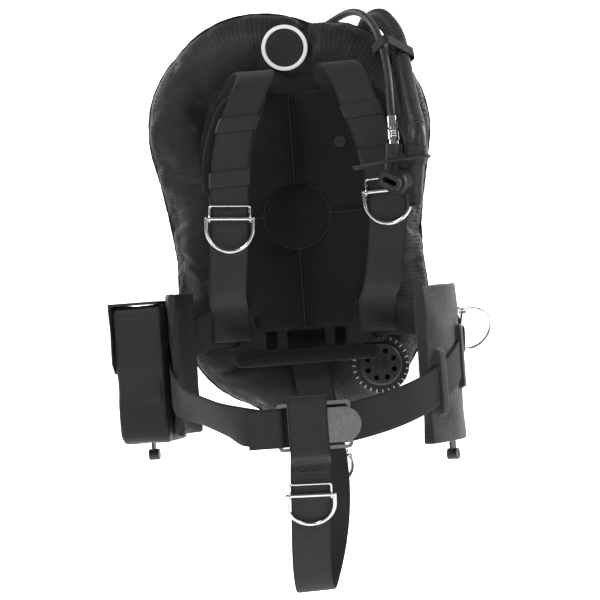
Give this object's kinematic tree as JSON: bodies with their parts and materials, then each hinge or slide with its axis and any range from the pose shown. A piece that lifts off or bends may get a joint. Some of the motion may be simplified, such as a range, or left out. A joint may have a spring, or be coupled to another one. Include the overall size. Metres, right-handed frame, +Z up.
{
  "type": "diving buoyancy harness",
  "caption": "Backplate with an inflatable ring-shaped wing, padded webbing harness, waist buckle, crotch strap, hose-fed inflator, dump valve, pockets and tank bands.",
  "frame": {"origin": "midway between the two tank-bolt holes, on the rear face of the backplate's channel floor", "axes": "+X to the wearer's left, +Y from the wearer towards the tank, +Z up"},
  "size_m": [0.5172, 0.4958, 0.7927],
  "materials": {
    "plate_black": "gloss black powder coat",
    "wing_nylon": "coated black nylon",
    "webbing": "woven nylon webbing",
    "pad_foam": "padded nylon mesh",
    "steel": "stainless steel wire and sheet",
    "chrome": "plated brass",
    "moulded": "moulded black plastic",
    "rubber": "black rubber",
    "badge": "moulded badge, bare"
  },
  "bodies": {
    "pack": {"backplate": "plate_black", "wing_shell": "wing_nylon", "wing_centre_panel": "wing_nylon", "wing_grommets": "steel", "wing_badge": "badge", "valve_base": "moulded", "valve_cap": "moulded", "valve_spring": "steel", "back_pad": "pad_foam", "pad_screws": "steel", "lumbar_pad": "pad_foam", "shoulder_strap_right": "webbing", "shoulder_strap_left": "webbing", "shoulder_pad_right": "pad_foam", "shoulder_pad_left": "pad_foam", "keepers_right": "webbing", "keepers_left": "webbing", "waist_strap_left": "webbing", "waist_strap_right": "webbing", "buckle_frame": "steel", "crotch_strap": "webbing", "hose_elbow": "moulded", "corrugated_hose": "rubber", "hose_ties": "moulded", "hose_retainer": "webbing", "inflator_body": "moulded", "inflator_nipple": "chrome", "mouthpiece": "rubber", "inflator_bungee": "rubber", "lp_hose": "rubber", "lp_ferrule": "chrome", "lp_fitting": "chrome", "pocket_right": "wing_nylon", "pocket_right_toggle": "moulded", "pocket_left": "wing_nylon", "pocket_left_toggle": "moulded", "pocket_cord": "rubber", "tank_band_upper": "webbing", "tank_band_lower": "webbing", "cam_buckle_upper": "moulded", "cam_buckle_lower": "moulded", "slide_shoulder_right": "steel", "slide_shoulder_left": "steel", "slide_hip": "steel", "slide_crotch_front": "steel", "slide_crotch_rear": "steel"},
    "valve_poppet": {"valve_poppet": "rubber"},
    "buckle_lever": {"buckle_lever": "steel"},
    "inflate_button": {"inflate_button": "moulded"},
    "deflate_button": {"deflate_button": "moulded"},
    "quick_disconnect": {"quick_disconnect": "chrome"},
    "pocket_flap": {"pocket_right_flap": "wing_nylon"},
    "cam_lever_upper": {"cam_lever_upper": "moulded"},
    "cam_lever_lower": {"cam_lever_lower": "moulded"},
    "ring_shoulder_right": {"ring_shoulder_right": "steel"},
    "ring_shoulder_left": {"ring_shoulder_left": "steel"},
    "ring_hip": {"ring_hip": "steel"},
    "ring_crotch_front": {"ring_crotch_front": "steel"},
    "ring_crotch_rear": {"ring_crotch_rear": "steel"}
  },
  "joints": [
    {"name": "shoulder_right_ring_swing", "type": "hinge", "parent": "pack", "child": "ring_shoulder_right", "pos_m": [-0.08977, -0.1532, -0.00136], "axis": [-0.9948, -0.0753, 0.068], "range_deg": [0, 110]},
    {"name": "shoulder_left_ring_swing", "type": "hinge", "parent": "pack", "child": "ring_shoulder_left", "pos_m": [0.12136, -0.15229, 0.02084], "axis": [-0.9892, 0.1422, -0.0351], "range_deg": [0, 28]},
    {"name": "hip_ring_swing", "type": "hinge", "parent": "pack", "child": "ring_hip", "pos_m": [0.21004, -0.06747, -0.17271], "axis": [0.1449, -0.4519, 0.8802], "range_deg": [-85, 20]},
    {"name": "crotch_front_ring_swing", "type": "hinge", "parent": "pack", "child": "ring_crotch_front", "pos_m": [-0.00992, -0.26936, -0.36885], "axis": [-0.9994, -0.0161, 0.0298], "range_deg": [0, 110]},
    {"name": "crotch_rear_ring_swing", "type": "hinge", "parent": "pack", "child": "ring_crotch_rear", "pos_m": [0.0179, -0.06751, -0.33328], "axis": [0.9981, 0.0338, 0.0518], "range_deg": [0, 110]},
    {"name": "inflate_press", "type": "slide", "parent": "pack", "child": "inflate_button", "axis": [0, 1, 0], "range_m": [0, 0.0025], "stiffness_N_per_m": 900, "springref_m": -0.0015},
    {"name": "deflate_press", "type": "slide", "parent": "pack", "child": "deflate_button", "axis": [0.1392, 0, 0.9903], "range_m": [0, 0.0015], "stiffness_N_per_m": 900, "springref_m": -0.0015},
    {"name": "quick_disconnect_pull", "type": "slide", "parent": "pack", "child": "quick_disconnect", "axis": [0.01, 0.5218, 0.853], "range_m": [0, 0.003], "stiffness_N_per_m": 900, "springref_m": -0.0015},
    {"name": "valve_lift", "type": "slide", "parent": "pack", "child": "valve_poppet", "axis": [0, -1, 0], "range_m": [0, 0.004], "stiffness_N_per_m": 600, "springref_m": -0.0015, "deforming": ["valve_spring"]},
    {"name": "buckle_lever_swing", "type": "hinge", "parent": "pack", "child": "buckle_lever", "pos_m": [-0.012, -0.2987, -0.279], "axis": [0, 0, -1], "range_deg": [0, 7]},
    {"name": "cam_lever_upper_swing", "type": "hinge", "parent": "pack", "child": "cam_lever_upper", "pos_m": [-0.08623, 0.1604, 0.074], "axis": [0, 0, -1], "range_deg": [0, 110]},
    {"name": "cam_lever_lower_swing", "type": "hinge", "parent": "pack", "child": "cam_lever_lower", "pos_m": [-0.08623, 0.1604, -0.074], "axis": [0, 0, -1], "range_deg": [0, 110]},
    {"name": "pocket_flap_swing", "type": "hinge", "parent": "pack", "child": "pocket_flap", "pos_m": [-0.18804, -0.08647, -0.10503], "axis": [0.1526, 0.9883, 0], "range_deg": [0, 100]}
  ]
}
